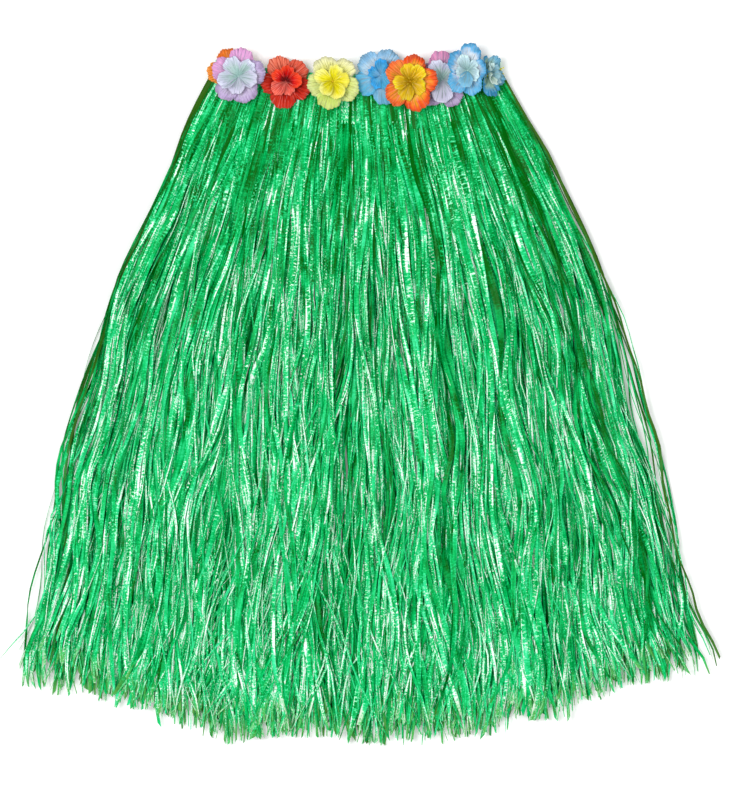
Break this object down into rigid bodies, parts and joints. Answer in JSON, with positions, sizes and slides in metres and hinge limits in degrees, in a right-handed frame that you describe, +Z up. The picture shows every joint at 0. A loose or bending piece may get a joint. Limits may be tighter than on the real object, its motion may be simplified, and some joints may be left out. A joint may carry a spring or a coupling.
{
  "type": "grass skirt",
  "caption": "Green raffia grass skirt laid flat, with a gathered waistband, a fanned fringe of crinkled strips and a row of fabric lei flowers.",
  "frame": {"origin": "middle of the skirt's footprint, on the surface it lies on", "axes": "+Z up from the surface, out of the skirt's front; +Y towards the waist; +X to the right as the front is seen"},
  "size_m": [0.6772, 0.684, 0.0375],
  "materials": {
    "band": "shirred raffia cloth, slight gloss",
    "raffia": "crinkled glossy film",
    "petal_orange": "stiffened petal cloth",
    "petal_lilac": "stiffened petal cloth",
    "petal_mint": "stiffened petal cloth",
    "petal_red": "stiffened petal cloth",
    "petal_yellow": "stiffened petal cloth",
    "petal_deep_yellow": "stiffened petal cloth",
    "petal_gold": "stiffened petal cloth",
    "petal_blue": "stiffened petal cloth",
    "petal_pale_blue": "stiffened petal cloth",
    "pin_mint": "moulded",
    "pin_red": "moulded",
    "pin_yellow": "moulded",
    "pin_gold": "moulded"
  },
  "bodies": {
    "root": {"waistband": "band", "fringe_back_lower": "raffia", "fringe_back_upper": "raffia", "fringe_front_lower": "raffia", "fringe_front_middle": "raffia", "fringe_front_top": "raffia", "flower_1_outer": "petal_orange", "flower_2_outer": "petal_lilac", "flower_2_inner": "petal_mint", "flower_2_pin": "pin_mint", "flower_3_outer": "petal_red", "flower_3_inner": "petal_red", "flower_3_pin": "pin_red", "flower_4_outer": "petal_yellow", "flower_4_inner": "petal_deep_yellow", "flower_4_pin": "pin_yellow", "flower_5_outer": "petal_blue", "flower_5_inner": "petal_blue", "flower_5_pin": "pin_mint", "flower_6_outer": "petal_orange", "flower_6_inner": "petal_gold", "flower_6_pin": "pin_gold", "flower_7_outer": "petal_lilac", "flower_7_inner": "petal_mint", "flower_7_pin": "pin_mint", "flower_8_outer": "petal_blue", "flower_8_inner": "petal_pale_blue", "flower_8_pin": "pin_mint", "flower_9_outer": "petal_blue", "flower_9_inner": "petal_mint", "flower_9_pin": "pin_yellow"}
  },
  "joints": []
}
